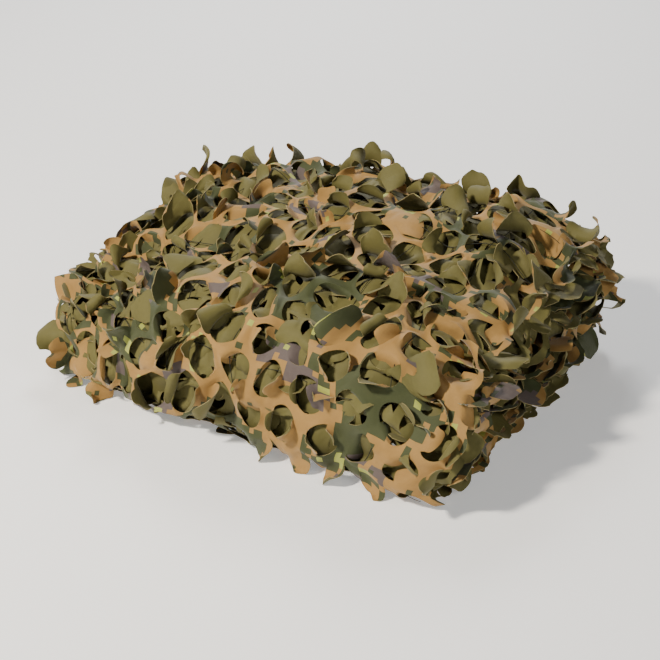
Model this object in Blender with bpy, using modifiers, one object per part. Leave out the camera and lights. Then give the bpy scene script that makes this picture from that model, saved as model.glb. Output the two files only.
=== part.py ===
"""Camouflage net: one sheet of die-cut cloth, folded back and forth into a loose pack.

The cloth is cut flat, as its maker cuts it, with rows of round leaves that stay
attached along one side. It is then folded: ten runs lie on each other, and the
last run comes over the top, down the front and back underneath. The pack lies
on its underside on the floor, X along its length, -Y its rounded front.
"""

import bisect
import functools
import math

import bmesh
import bpy
from mathutils import Vector

MM = 0.001

# The pack.
PACK_LENGTH = 610 * MM
PACK_DEPTH = 530 * MM
FULL_HEIGHT = 203 * MM
LOW_CORNER_DROP = 94 * MM
BACK_CORNER_DROP = 48 * MM
RIGHT_DROP = 3 * MM
RIGHT_BACK_RISE = 14 * MM
FRONT_ROUNDING = 105 * MM
FOOT_ROUNDING = 34 * MM
CORNER_PULL = 26 * MM
END_WAVE = 7 * MM
BACK_WAVE = 5 * MM
RIGHT_BELLY = 24 * MM
LEFT_BELLY = 16 * MM
RIGHT_TUCK = 20 * MM
CORNER_BACK = 34 * MM

# The cloth and its folds.
CLOTH = 2.5 * MM
RUNS = 10
FOLD_BULGE = 11 * MM
FOLD_SETBACK = 12 * MM
FRONT_CLEARANCE = 24 * MM
RUN_WAVE_SHARE = 0.17
SIDE_RUFFLE = 8 * MM
TOP_WAVE = 6 * MM

# The die-cut cells, in rows that are offset by half a cell.
COLUMNS = 9
CUT_ROWS = 11
CELL = PACK_LENGTH / COLUMNS
CUT_LENGTH = CUT_ROWS * CELL * math.sqrt(3) / 2
HOLE_LONG_RADIUS = 28.5 * MM
HOLE_SHORT_RADIUS = 23 * MM
HOLE_SIDES = 9
ZIGZAG = 1 / 6

# The leaves that stand proud of the cloth, by how they lie. Each step from the hinge to the tip is
# (distance over the hole, height off the cloth, width as a share of the hinge).
ARCHED = (
    (7 * MM, 10 * MM, 1.5),
    (17 * MM, 16 * MM, 2.0),
    (14 * MM, 13 * MM, 1.3),
)
STANDING = (
    (4 * MM, 11 * MM, 1.5),
    (6 * MM, 22 * MM, 1.9),
    (1 * MM, 29 * MM, 1.0),
)
ROLLED = (
    (6 * MM, 9 * MM, 1.5),
    (9 * MM, 19 * MM, 1.9),
    (-7 * MM, 23 * MM, 1.4),
)
LEAVES = (ARCHED, STANDING, ROLLED, ARCHED, ARCHED, ROLLED, None)

# The tongues that the cut edges of the inner runs end in, at both sides of the pack.
TONGUE_REACH = 25 * MM
TONGUE_TILT = 15 * MM
TONGUE_TIP = 0.62
TONGUE_GAPS = (1, 3)
TONGUE_REPEAT = 5

# The plain stretches of cloth: rows of faces in each, and the lengthwise lines that they keep.
UNDER_ROWS = 8
RUN_ROWS = 8
FOLD_ROWS = 3
UNDER_LENGTH = 470 * MM
RUN_LENGTH = 450 * MM
FOLD_LENGTH = 26 * MM
PLAIN_LINES = (0, 2, 5, 8, 11, 14, 16, 18)

FRONT = -PACK_DEPTH / 2
WRAP_START = FRONT + FRONT_ROUNDING


def smooth(t):
    """An ease from 0 to 1."""
    t = min(max(t, 0.0), 1.0)
    return t * t * (3 - 2 * t)


def pack_height(x, y):
    """Height of the top run over the floor: a dome that is low at its front left corner."""
    across = x / PACK_LENGTH + 0.5
    deep = y / PACK_DEPTH + 0.5
    height = FULL_HEIGHT
    height -= LOW_CORNER_DROP * (1 - smooth(across / 0.5)) * (1 - smooth(deep))
    height -= BACK_CORNER_DROP * (1 - smooth(across / 0.4)) * smooth((deep - 0.5) / 0.5)
    height -= RIGHT_DROP * smooth((across - 0.55) / 0.45)
    height += RIGHT_BACK_RISE * smooth((across - 0.5) / 0.4) * smooth((deep - 0.35) / 0.5)
    height *= 0.90 + 0.10 * smooth((1 - across) / 0.14)
    height *= 0.93 + 0.07 * smooth(across / 0.12)
    height *= 0.84 + 0.16 * smooth((1 - deep) / 0.20)
    height *= 0.86 + 0.14 * smooth(deep / 0.75)
    return height


def wave(x, y, phase):
    """A gentle unevenness between -1 and 1, unlike on every run."""
    lengthwise = math.sin(23 * x + 11 * y + 1.9 * phase)
    crosswise = math.sin(31 * y - 9 * x + 2.7 * phase)
    return 0.5 * (lengthwise + crosswise)


def back_edge(x):
    return PACK_DEPTH / 2 + BACK_WAVE * math.sin(13 * x + 0.6)


def front_face(x, share):
    """Where the cloth over the front is, in Y, at a share of the height at its upper edge."""
    height = pack_height(x, WRAP_START)
    z = share * height
    if z > FOOT_ROUNDING:
        rise = (z - FOOT_ROUNDING) / (height - FOOT_ROUNDING)
        return WRAP_START - FRONT_ROUNDING * math.sqrt(max(0.0, 1 - rise ** 2.4))
    fall = 1 - z / FOOT_ROUNDING
    return FRONT + FOOT_ROUNDING * (1 - math.sqrt(max(0.0, 1 - fall ** 2)))


@functools.lru_cache(maxsize=None)
def over_points(x):
    """The outer run as points (y, z), from the floor in front, up and over, to the back fold."""
    height = pack_height(x, WRAP_START)
    floor = CLOTH / 2
    points = []
    for step in range(8):
        turn = math.pi / 2 * step / 8
        points.append((
            FRONT + FOOT_ROUNDING * (1 - math.sin(turn)),
            floor + (FOOT_ROUNDING - floor) * (1 - math.cos(turn)),
        ))
    for step in range(14):
        turn = math.pi / 2 * step / 14
        rise = math.sin(turn) ** (2 / 2.4)
        points.append((
            WRAP_START - FRONT_ROUNDING * math.cos(turn),
            FOOT_ROUNDING + (height - FOOT_ROUNDING) * rise,
        ))
    for step in range(25):
        y = WRAP_START + (back_edge(x) - FOLD_SETBACK - WRAP_START) * step / 24
        lumps = TOP_WAVE * (1 + wave(x, y, 0)) + side_ruffle(x, y)
        points.append((y, pack_height(x, y) + lumps * smooth((y - WRAP_START) / 0.08)))
    return points


def along(points, share):
    """The point at a share of the length of a chain of points."""
    reach = [0.0]
    for (y0, z0), (y1, z1) in zip(points, points[1:]):
        reach.append(reach[-1] + math.hypot(y1 - y0, z1 - z0))
    goal = min(max(share, 0.0), 1.0) * reach[-1]
    index = min(max(bisect.bisect_right(reach, goal) - 1, 0), len(points) - 2)
    part = (goal - reach[index]) / (reach[index + 1] - reach[index])
    (y0, z0), (y1, z1) = points[index], points[index + 1]
    return y0 + (y1 - y0) * part, z0 + (z1 - z0) * part


def over(x, share):
    return along(over_points(x), share)


def under(x, share):
    """The run on the floor, from its free end at the back to the front."""
    start = back_edge(x) - 2 * FOLD_SETBACK
    end = FRONT + FOOT_ROUNDING
    return start + (end - start) * share, CLOTH / 2


def side_ruffle(x, y):
    """How far the cloth is waved up or down near the pack's two sides, alike on all runs."""
    near_side = smooth((2 * abs(x) / PACK_LENGTH - 0.6) / 0.4)
    return SIDE_RUFFLE * near_side * math.sin(34 * y + 3 * x)


def run_height(x, y, run):
    """Height of an inner run. Run 1 is the uppermost, and they share the pack's height evenly."""
    share = 1 - run / (RUNS - 1)
    spacing = pack_height(x, max(y, WRAP_START)) / (RUNS - 1)
    uneven = RUN_WAVE_SHARE * wave(x, y, run)
    return share * (pack_height(x, max(y, WRAP_START)) + side_ruffle(x, y)) + spacing * uneven


def run_end(x, run, at_front):
    """Y of an inner run's front or back end."""
    if at_front:
        return front_face(x, 1 - run / (RUNS - 1)) + FRONT_CLEARANCE
    setback = FOLD_SETBACK * (1 + 0.5 * (1 + math.sin(2.3 * run)) * (run > 1))
    return back_edge(x) - setback


def inner_run(run):
    """A curve (x, share) to (y, z) along an inner run. The odd runs go from back to front."""
    def curve(x, share):
        front = run_end(x, run, True)
        back = run_end(x, run, False)
        forwards = share if run % 2 == 0 else 1 - share
        y = front + (back - front) * forwards
        return y, run_height(x, y, run)
    return curve


def fold_between(upper, lower, outwards):
    """A curve round the fold that joins two runs; outwards is 1 at the back and -1 at the front."""
    def curve(x, share):
        y0, z0 = upper(x, 1.0)
        y3, z3 = lower(x, 0.0)
        y1, y2 = y0 + outwards * FOLD_BULGE, y3 + outwards * FOLD_BULGE
        rest = 1 - share
        weights = rest ** 3, 3 * rest ** 2 * share, 3 * rest * share ** 2, share ** 3
        y = sum(w * value for w, value in zip(weights, (y0, y1, y2, y3)))
        z = sum(w * value for w, value in zip(weights, (z0, z0, z3, z3)))
        return y, z
    return curve


def stretches():
    """The cloth's stretches from its end on the floor to its end inside: (rows, length, run, curve)."""
    found = [
        (UNDER_ROWS, UNDER_LENGTH, RUNS - 1, under),
        (CUT_ROWS, CUT_LENGTH, 0, over),
    ]
    last = over
    for run in range(1, RUNS - 1):
        this = inner_run(run)
        outwards = 1 if run % 2 else -1
        found.append((FOLD_ROWS, FOLD_LENGTH, run, fold_between(last, this, outwards)))
        found.append((RUN_ROWS, RUN_LENGTH, run, this))
        last = this
    return found


STRETCHES = stretches()
CUT_FROM = UNDER_LENGTH
CUT_TO = UNDER_LENGTH + CUT_LENGTH


def row_lines():
    """The distance along the flat cloth of each crosswise line of vertices."""
    lines = [0.0]
    for rows, length, _, _ in STRETCHES:
        start = lines[-1]
        lines += [start + length * (row + 1) / rows for row in range(rows)]
    return lines


def settled(x, y, z):
    """The pack as it has settled: both ends belly out at half height, and the low corner is drawn back."""
    right = smooth((2 * x / PACK_LENGTH - 0.4) / 0.6)
    left = smooth((-2 * x / PACK_LENGTH - 0.3) / 0.7)
    front = smooth((-2 * y / PACK_DEPTH - 0.1) / 0.9)
    belly = math.sin(math.pi * min(max(z / (0.95 * FULL_HEIGHT), 0), 1))
    tuck = smooth(2 * y / PACK_DEPTH) * (1 - smooth(z / (0.45 * FULL_HEIGHT)))
    x += right * (RIGHT_BELLY * belly - RIGHT_TUCK * tuck) - left * LEFT_BELLY * belly
    return Vector((x, y + CORNER_BACK * left * front, z))


def folded(across, distance):
    """The place in the pack of a point of the flat cloth."""
    start = 0.0
    for _, length, run, curve in STRETCHES:
        if distance <= start + length + 1e-9:
            break
        start += length
    y, z = curve(across, (distance - start) / length)
    held = 1 - 0.6 * smooth(2 * across / PACK_LENGTH)
    corner = held * CORNER_PULL * abs(2 * y / PACK_DEPTH) ** 5
    ends = END_WAVE * math.sin(17 * y + 2.1 * run) * abs(2 * across / PACK_LENGTH) ** 3
    scale = 1 - corner / (PACK_LENGTH / 2)
    return settled(across * scale + ends, y, z)


def lifted(across, distance, lift):
    """A point off the cut cloth's outer face, which looks away from the pack."""
    place = folded(across, distance)
    if abs(lift) < 1e-9:
        return place
    step = 4 * MM
    lengthwise = folded(across + step, distance) - folded(across - step, distance)
    crosswise = folded(across, min(distance + step, CUT_TO)) - folded(across, max(distance - step, CUT_FROM))
    return place + lengthwise.cross(crosswise).normalized() * lift


def flat_cloth():
    """The uncut cloth as a flat grid at its real size, one face for half a cell in the rows to be cut."""
    lines = row_lines()
    fine = 2 * COLUMNS
    cloth = bmesh.new()
    bmesh.ops.create_grid(cloth, x_segments=fine, y_segments=len(lines) - 1, size=1)
    column = cloth.verts.layers.int.new("column")
    line = cloth.verts.layers.int.new("line")
    pitch = CUT_LENGTH / CUT_ROWS
    for vert in cloth.verts:
        i = round((vert.co.x + 1) / 2 * fine)
        j = round((vert.co.y + 1) / 2 * (len(lines) - 1))
        vert[column], vert[line] = i, j
        y = lines[j]
        if CUT_FROM + pitch / 2 < y < CUT_TO - pitch / 2:
            y += pitch * ZIGZAG * (1 if (i + j) % 2 == 0 else -1)
        vert.co = Vector(((i / fine - 0.5) * PACK_LENGTH, y, 0))
    return cloth, column, line


def merge_faces(cloth, column, line):
    """Joins the fine faces: two by two into six-sided cells where the cloth is cut, wider elsewhere."""
    unwanted = []
    for edge in cloth.edges:
        first, second = edge.verts
        i = first[column]
        if i != second[column] or i in (0, 2 * COLUMNS):
            continue
        row = min(first[line], second[line])
        in_cut = UNDER_ROWS <= row < UNDER_ROWS + CUT_ROWS
        if (i + row) % 2 if in_cut else i not in PLAIN_LINES:
            unwanted.append(edge)
    bmesh.ops.dissolve_edges(cloth, edges=unwanted, use_verts=True)


def cut_cells(cloth):
    """Cuts a round hole in each whole cell, and takes away the half cells at the two cut ends."""
    halves, cells = [], []
    for face in cloth.faces:
        centre = face.calc_center_bounds()
        if CUT_FROM < centre.y < CUT_TO:
            xs = [vert.co.x for vert in face.verts]
            (cells if max(xs) - min(xs) > 0.75 * CELL else halves).append(face)
    bmesh.ops.delete(cloth, geom=halves, context="FACES")
    cells.sort(key=lambda face: tuple(round(c, 4) for c in face.calc_center_bounds().yx))
    bmesh.ops.inset_individual(cloth, faces=cells, thickness=6 * MM)
    for number, cell in enumerate(cells):
        open_cell(cloth, cell, number)
    return len(cells)


def open_cell(cloth, cell, number):
    """Rounds one inset cell, raises its leaf where it has one, and opens the hole."""
    short = HOLE_SIDES - len(cell.verts)
    for edge in sorted(cell.edges, key=lambda edge: -round(edge.calc_length(), 4))[:short]:
        bmesh.utils.edge_split(edge, edge.verts[0], 0.5)
    centre = cell.calc_center_bounds()
    rim = [loop.vert for loop in cell.loops]
    first = math.atan2(rim[0].co.y - centre.y, rim[0].co.x - centre.x)
    slant = 0.9 * math.sin(2.4 * number)
    for place, vert in enumerate(rim):
        angle = first + place * 2 * math.pi / len(rim)
        squash = math.hypot(
            math.cos(angle - slant) / HOLE_LONG_RADIUS,
            math.sin(angle - slant) / HOLE_SHORT_RADIUS,
        )
        vert.co = centre + Vector((math.cos(angle), math.sin(angle), 0)) / squash
    leaf = LEAVES[number % len(LEAVES)]
    if leaf:
        raise_leaf(cloth, cell, centre, leaf, number)
    bmesh.ops.delete(cloth, geom=[cell], context="FACES_ONLY")


def raise_leaf(cloth, cell, centre, leaf, number):
    """The leaf that the cut leaves on one side of its hole, curling up off the cloth."""
    towards = Vector((math.cos(3.7 * number), math.sin(3.7 * number), 0))
    hinge = max(cell.edges, key=lambda edge: (sum((v.co for v in edge.verts), Vector()) / 2 - centre) @ towards)
    ends = [vert.co.copy() for vert in hinge.verts]
    middle = (ends[0] + ends[1]) / 2
    inwards = (centre - middle).normalized()
    height = 0.9 + 0.2 * math.sin(5.3 * number)
    for over_hole, lift, width in leaf:
        made = bmesh.ops.extrude_edge_only(cloth, edges=[hinge])["geom"]
        tips = [item for item in made if isinstance(item, bmesh.types.BMVert)]
        hinge = next(item for item in made if isinstance(item, bmesh.types.BMEdge))
        for tip in tips:
            end = min(ends, key=lambda corner: (corner - tip.co).xy.length)
            tip.co = middle + (end - middle) * width + inwards * over_hole
            tip.co.z = lift * height


def add_tongues(cloth):
    """Draws the plain runs' cut side edges out into tongues, with gaps between them."""
    plain = []
    start = 0.0
    for _, length, run, _ in STRETCHES:
        if run > 0 and length > FOLD_LENGTH:
            plain.append((start, start + length))
        start += length
    borders = []
    for edge in cloth.edges:
        middle = (edge.verts[0].co + edge.verts[1].co) / 2
        if abs(middle.x) > PACK_LENGTH / 2 - MM and any(low < middle.y < high for low, high in plain):
            borders.append((middle.x > 0, middle.y, edge))
    borders.sort(key=lambda item: item[:2])
    for number, (_, _, edge) in enumerate(borders):
        if number % TONGUE_REPEAT not in TONGUE_GAPS:
            add_tongue(cloth, edge, number)


def add_tongue(cloth, edge, number):
    """Draws out the middle third of one border edge."""
    start, end = edge.verts
    _, first = bmesh.utils.edge_split(edge, start, 1 / 3)
    root = next(item for item in first.link_edges if item.other_vert(first) is end)
    _, second = bmesh.utils.edge_split(root, first, 0.5)
    root = next(item for item in first.link_edges if item.other_vert(first) is second)
    middle = (first.co + second.co) / 2
    new = bmesh.ops.extrude_edge_only(cloth, edges=[root])["geom"]
    side = 1 if middle.x > 0 else -1
    reach = TONGUE_REACH * (0.8 + 0.25 * math.sin(2.9 * number))
    for tip in (item for item in new if isinstance(item, bmesh.types.BMVert)):
        tip.co.y = middle.y + (tip.co.y - middle.y) * TONGUE_TIP + 6 * MM * math.sin(1.7 * number)
        tip.co.x += side * reach


def fold_cloth(cloth):
    """Puts every point of the flat cut cloth at its place in the pack, on or above the floor."""
    for vert in cloth.verts:
        place = lifted(vert.co.x, vert.co.y, vert.co.z)
        past_end = max(0.0, abs(vert.co.x) - PACK_LENGTH / 2)
        tilt = TONGUE_TILT * past_end / TONGUE_REACH * math.sin(19 * place.y + 4 * vert.co.x)
        place.z += tilt * min(1.0, place.z / FULL_HEIGHT)
        place.z = max(place.z, CLOTH / 2)
        vert.co = place


def cloth_material():
    material = bpy.data.materials.new("printed_cloth")
    material.use_nodes = True
    shader = material.node_tree.nodes["Principled BSDF"]
    shader.inputs["Base Color"].default_value = (0.33, 0.24, 0.11, 1)
    shader.inputs["Roughness"].default_value = 0.75
    shader.inputs["Metallic"].default_value = 0.0
    return material


def make_net():
    cloth, column, line = flat_cloth()
    merge_faces(cloth, column, line)
    cut_cells(cloth)
    add_tongues(cloth)
    fold_cloth(cloth)
    bmesh.ops.recalc_face_normals(cloth, faces=cloth.faces)
    mesh = bpy.data.meshes.new("camouflage_net")
    cloth.to_mesh(mesh)
    cloth.free()
    mesh.materials.append(cloth_material())
    net = bpy.data.objects.new("camouflage_net", mesh)
    collection = bpy.data.collections.new("folded_camouflage_net")
    bpy.context.scene.collection.children.link(collection)
    collection.objects.link(net)
    thick = net.modifiers.new("cloth_thickness", "SOLIDIFY")
    thick.thickness = CLOTH
    thick.offset = 0
    thick.use_even_offset = False


for old in list(bpy.data.objects):
    bpy.data.objects.remove(old)
make_net()
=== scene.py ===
"""A folded camouflage net: die-cut printed cloth, laid back and forth into a loose pack, in metres.

The cloth follows the fold of the solid. Its cells are smaller than the cuts of the solid, and there are
more of them. The flat cloth is described by two distances, s across it and d along it, from its end on
the floor to its end inside the pack. Every leaf and web is first laid out flat, and then put in its
place in the pack.
"""

import math

import bmesh
import bpy
import numpy as np
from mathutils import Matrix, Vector


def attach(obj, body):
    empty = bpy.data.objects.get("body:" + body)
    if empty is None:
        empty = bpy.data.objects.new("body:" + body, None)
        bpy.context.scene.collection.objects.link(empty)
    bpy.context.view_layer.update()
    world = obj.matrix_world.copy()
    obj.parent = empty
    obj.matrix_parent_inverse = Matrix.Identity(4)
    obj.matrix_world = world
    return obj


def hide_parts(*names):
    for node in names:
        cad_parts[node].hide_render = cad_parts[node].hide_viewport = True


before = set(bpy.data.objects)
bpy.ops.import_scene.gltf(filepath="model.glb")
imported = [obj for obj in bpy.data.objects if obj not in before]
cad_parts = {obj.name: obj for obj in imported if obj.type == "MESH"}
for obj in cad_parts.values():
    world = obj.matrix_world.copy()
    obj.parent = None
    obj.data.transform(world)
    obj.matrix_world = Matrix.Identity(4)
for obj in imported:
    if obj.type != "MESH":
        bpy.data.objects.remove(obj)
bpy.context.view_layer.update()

# --------------------------------------------
# The net over the top and down the front
# --------------------------------------------
# One sheet of thin woven polyester, printed on one face, with a die-cut hole in every cell. What is cut from
# a hole stays joined to its rim as one leaf or two, and curls off the cloth. This stretch lies loose over the
# folded pack and hangs down the front, and the same cloth goes on at both its ends.

MM = 0.001

# The pack as it lies: its length between the two ends, its depth from front to back, and its full height.
PACK_LENGTH = 610 * MM
PACK_DEPTH = 530 * MM
FULL_HEIGHT = 203 * MM

# How the height changes from place to place.
LOW_CORNER_DROP = 94 * MM
BACK_CORNER_DROP = 48 * MM
RIGHT_DROP = 3 * MM
RIGHT_BACK_RISE = 14 * MM
TOP_WAVE = 6 * MM
SIDE_RUFFLE = 8 * MM

# The height falls towards each edge of the top. Each: the share lost, and over what share of the side.
RIGHT_FALL = (0.10, 0.14)
LEFT_FALL = (0.07, 0.12)
BACK_FALL = (0.16, 0.20)
FRONT_FALL = (0.14, 0.75)

# How the sides and corners leave a plain block.
FRONT_ROUNDING = 105 * MM
FRONT_SQUARENESS = 2.4
FOOT_ROUNDING = 34 * MM
CORNER_PULL = 26 * MM
CORNER_POWER = 5
RIGHT_HELD = 0.6
END_WAVE = 7 * MM
END_POWER = 3
BACK_WAVE = 5 * MM
RIGHT_BELLY = 24 * MM
LEFT_BELLY = 16 * MM
CORNER_BACK = 34 * MM
RIGHT_TUCK = 20 * MM
FLOOR_GAP = 1.2 * MM

# The cloth lies in this many runs, from the one over the top, run 0, to the one on the floor.
RUNS = 10
FOLD_BULGE = 11 * MM
FOLD_SETBACK = 12 * MM
SETBACK_SPREAD = 0.5
SETBACK_WAVE = 2.3
FRONT_CLEARANCE = 15 * MM
RUN_WAVE_SHARE = 0.17

# How much of the cloth's length goes into each stretch of the fold.
UNDER_LENGTH = 470 * MM
CUT_LENGTH = 646 * MM
RUN_LENGTH = 450 * MM
FOLD_LENGTH = 26 * MM

FRONT = -PACK_DEPTH / 2
WRAP_START = FRONT + FRONT_ROUNDING


def smooth(t):
    """An ease from 0 to 1."""
    t = np.clip(t, 0, 1)
    return t * t * (3 - 2 * t)


def edge_fall(edge, distance):
    """The share of the height that is left at a distance from an edge, as a share of the pack's side."""
    lost, reach = edge
    return 1 - lost * (1 - smooth(distance / reach))


def pack_height(x, y):
    """Height of the top run over the floor: a dome that is low at its front left corner.

    The numbers are shares of the pack's length from its left end, and of its depth from its front.
    """
    across = x / PACK_LENGTH + 0.5
    deep = y / PACK_DEPTH + 0.5
    height = FULL_HEIGHT - LOW_CORNER_DROP * (1 - smooth(across / 0.5)) * (1 - smooth(deep))
    height = height - BACK_CORNER_DROP * (1 - smooth(across / 0.4)) * smooth((deep - 0.5) / 0.5)
    height = height - RIGHT_DROP * smooth((across - 0.55) / 0.45)
    height = height + RIGHT_BACK_RISE * smooth((across - 0.5) / 0.4) * smooth((deep - 0.35) / 0.5)
    height = height * edge_fall(RIGHT_FALL, 1 - across) * edge_fall(LEFT_FALL, across)
    return height * edge_fall(BACK_FALL, 1 - deep) * edge_fall(FRONT_FALL, deep)


# How fast each unevenness waves, in radians per metre along X and Y. The lumps also shift from run to run.
LUMP_WAVES = ((23, 11, 1.9), (-9, 31, 2.7))
RUFFLE_WAVES = (3, 34)
BACK_WAVES = 13
END_WAVES = 17
END_PHASE = 2.1


def wave(x, y, phase):
    """A gentle unevenness between -1 and 1, unlike on every run."""
    first, second = (np.sin(a * x + b * y + c * phase) for a, b, c in LUMP_WAVES)
    return 0.5 * (first + second)


def side_ruffle(x, y):
    """How far the cloth is waved up or down near the pack's two ends, alike on all runs."""
    near_end = smooth((2 * np.abs(x) / PACK_LENGTH - 0.6) / 0.4)
    return SIDE_RUFFLE * near_end * np.sin(RUFFLE_WAVES[1] * y + RUFFLE_WAVES[0] * x)


def back_edge(x):
    """Where the back of the pack is, in Y: a line with a slight wave."""
    return PACK_DEPTH / 2 + BACK_WAVE * np.sin(BACK_WAVES * x + 0.6)


def front_face(x, share):
    """Where the cloth over the front is, in Y, at a share of the height at its upper edge."""
    height = pack_height(x, WRAP_START)
    z = share * height
    rise = np.clip((z - FOOT_ROUNDING) / (height - FOOT_ROUNDING), 0, 1)
    fall = np.clip(1 - z / FOOT_ROUNDING, 0, 1)
    upper = WRAP_START - FRONT_ROUNDING * np.sqrt(1 - rise ** FRONT_SQUARENESS)
    lower = FRONT + FOOT_ROUNDING * (1 - np.sqrt(1 - fall ** 2))
    return np.where(z > FOOT_ROUNDING, upper, lower)


# Points of the outer run round the foot, up the face and over the top, and where its lumps are full.
OVER_POINTS = (16, 40, 80)
LUMPS_FULL = 80 * MM


def over_points(x):
    """The outer run at one x as Y and Z, from the floor in front, up and over, to the back fold."""
    height = pack_height(x, WRAP_START)
    foot_points, face_points, top_points = OVER_POINTS
    turn = np.linspace(0, math.pi / 2, foot_points, endpoint=False)
    foot_y = FRONT + FOOT_ROUNDING * (1 - np.sin(turn))
    foot_z = FLOOR_GAP + (FOOT_ROUNDING - FLOOR_GAP) * (1 - np.cos(turn))
    turn = np.linspace(0, math.pi / 2, face_points, endpoint=False)
    face_y = WRAP_START - FRONT_ROUNDING * np.cos(turn)
    face_z = FOOT_ROUNDING + (height - FOOT_ROUNDING) * np.sin(turn) ** (2 / FRONT_SQUARENESS)
    top_y = np.linspace(WRAP_START, back_edge(x) - FOLD_SETBACK, top_points)
    lumps = TOP_WAVE * (1 + wave(x, top_y, 0)) + side_ruffle(x, top_y)
    top_z = pack_height(x, top_y) + lumps * smooth((top_y - WRAP_START) / LUMPS_FULL)
    return np.concatenate((foot_y, face_y, top_y)), np.concatenate((foot_z, face_z, top_z))


def over(x, share):
    """The outer run: its points at even shares of its length."""
    y, z = over_points(x)
    reach = np.concatenate(([0], np.cumsum(np.hypot(np.diff(y), np.diff(z)))))
    goal = np.clip(share, 0, 1) * reach[-1]
    return np.interp(goal, reach, y), np.interp(goal, reach, z)


def under(x, share):
    """The run on the floor, from its free end at the back to the front."""
    start = back_edge(x) - 2 * FOLD_SETBACK
    end = FRONT + FOOT_ROUNDING
    return start + (end - start) * share, np.full_like(share, FLOOR_GAP)


# The upper runs are drawn up towards the outer one, as a share of the height.
UPPER_LIFT = {1: 0.04, 2: 0.03, 3: 0.02}


def inner_run(run):
    """A curve along an inner run. Run 1 is the uppermost, and the odd runs go from back to front."""
    def curve(x, share):
        part = 1 - run / (RUNS - 1) + UPPER_LIFT.get(run, 0)
        front = front_face(x, 1 - run / (RUNS - 1)) + FRONT_CLEARANCE
        setback = FOLD_SETBACK * (1 + SETBACK_SPREAD * (1 + math.sin(SETBACK_WAVE * run)) * (run > 1))
        back = back_edge(x) - setback
        y = front + (back - front) * (share if run % 2 == 0 else 1 - share)
        height = pack_height(x, np.maximum(y, WRAP_START))
        lumps = RUN_WAVE_SHARE * wave(x, y, run) * height / (RUNS - 1)
        return y, part * (height + side_ruffle(x, y)) + lumps
    return curve


def fold_between(upper, lower, outwards):
    """A curve round the fold that joins two runs; outwards is 1 at the back and -1 at the front."""
    def curve(x, share):
        y0, z0 = upper(x, np.array([1.0]))
        y3, z3 = lower(x, np.array([0.0]))
        y1, y2 = y0 + outwards * FOLD_BULGE, y3 + outwards * FOLD_BULGE
        rest = 1 - share
        weights = rest ** 3, 3 * rest ** 2 * share, 3 * rest * share ** 2, share ** 3
        y = weights[0] * y0 + weights[1] * y1 + weights[2] * y2 + weights[3] * y3
        z = weights[0] * z0 + weights[1] * z0 + weights[2] * z3 + weights[3] * z3
        return y, z
    return curve


# The whole fold, from the cloth's end on the floor. Each: length of cloth, number of the run, and its curve.
STRETCHES = [(UNDER_LENGTH, RUNS - 1, under), (CUT_LENGTH, 0, over)]
for run in range(1, RUNS - 1):
    fold = fold_between(STRETCHES[-1][2], inner_run(run), 1 if run % 2 else -1)
    STRETCHES.append((FOLD_LENGTH, run - 0.5, fold))
    STRETCHES.append((RUN_LENGTH, run, inner_run(run)))


def settled(x, y, z):
    """The pack as it has settled: both ends belly out at half height, and the low corner is drawn back.

    The numbers are shares of half its length, of half its depth and of its height.
    """
    right = smooth((2 * x / PACK_LENGTH - 0.4) / 0.6)
    left = smooth((-2 * x / PACK_LENGTH - 0.3) / 0.7)
    front = smooth((-2 * y / PACK_DEPTH - 0.1) / 0.9)
    belly = np.sin(math.pi * np.clip(z / (0.95 * FULL_HEIGHT), 0, 1))
    tuck = smooth(2 * y / PACK_DEPTH) * (1 - smooth(z / (0.45 * FULL_HEIGHT)))
    x = x + right * (RIGHT_BELLY * belly - RIGHT_TUCK * tuck) - left * LEFT_BELLY * belly
    return np.stack((x, y + CORNER_BACK * left * front, z), axis=-1)


# The fold as a table of places: one line of them along the cloth, a step apart, for each s in TABLE_S.
TABLE_S = np.linspace(-370 * MM, 370 * MM, 95)
TABLE_STEP = 3 * MM
FEWEST_STEPS = 9
TABLE_MARGIN = 0.001
# Over how many steps the change from one run's unevenness to the next one's is spread.
BLEND_STEPS = 41


def fold_table():
    """The distances along the cloth at which it is tabled, and its places in the pack at them for each s."""
    distances, phases = [], []
    ys, zs = [[] for _ in TABLE_S], [[] for _ in TABLE_S]
    start = 0.0
    for length, run, curve in STRETCHES:
        count = max(FEWEST_STEPS, round(length / TABLE_STEP))
        share = np.linspace(0, 1, count) if start == 0 else np.linspace(0, 1, count)[1:]
        distances.append(start + share * length)
        phases.append(np.full_like(share, run))
        for index, s in enumerate(TABLE_S):
            y, z = curve(s, share)
            ys[index].append(y)
            zs[index].append(z)
        start += length
    y = np.array([np.concatenate(line) for line in ys])
    z = np.array([np.concatenate(line) for line in zs])
    phase = np.pad(np.concatenate(phases), BLEND_STEPS // 2, mode="edge")
    phase = np.convolve(phase, np.ones(BLEND_STEPS) / BLEND_STEPS, mode="valid")
    s = TABLE_S[:, None]
    held = 1 - RIGHT_HELD * smooth(2 * s / PACK_LENGTH)
    pull = 1 - held * CORNER_PULL * np.abs(2 * y / PACK_DEPTH) ** CORNER_POWER / (PACK_LENGTH / 2)
    ends = END_WAVE * np.sin(END_WAVES * y + END_PHASE * phase) * np.abs(2 * s / PACK_LENGTH) ** END_POWER
    return np.concatenate(distances), settled(s * pull + ends, y, z)


TABLE_D, TABLE = fold_table()


def in_pack(s, d):
    """The places in the pack of points of the flat cloth."""
    i = np.clip((s - TABLE_S[0]) / (TABLE_S[1] - TABLE_S[0]), 0, len(TABLE_S) - 1 - TABLE_MARGIN)
    j = np.clip(np.interp(d, TABLE_D, np.arange(len(TABLE_D))), 0, len(TABLE_D) - 1 - TABLE_MARGIN)
    i0, j0 = i.astype(int), j.astype(int)
    a, b = (i - i0)[..., None], (j - j0)[..., None]
    near = TABLE[i0, j0] * (1 - b) + TABLE[i0, j0 + 1] * b
    far = TABLE[i0 + 1, j0] * (1 - b) + TABLE[i0 + 1, j0 + 1] * b
    return near * (1 - a) + far * a


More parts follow.
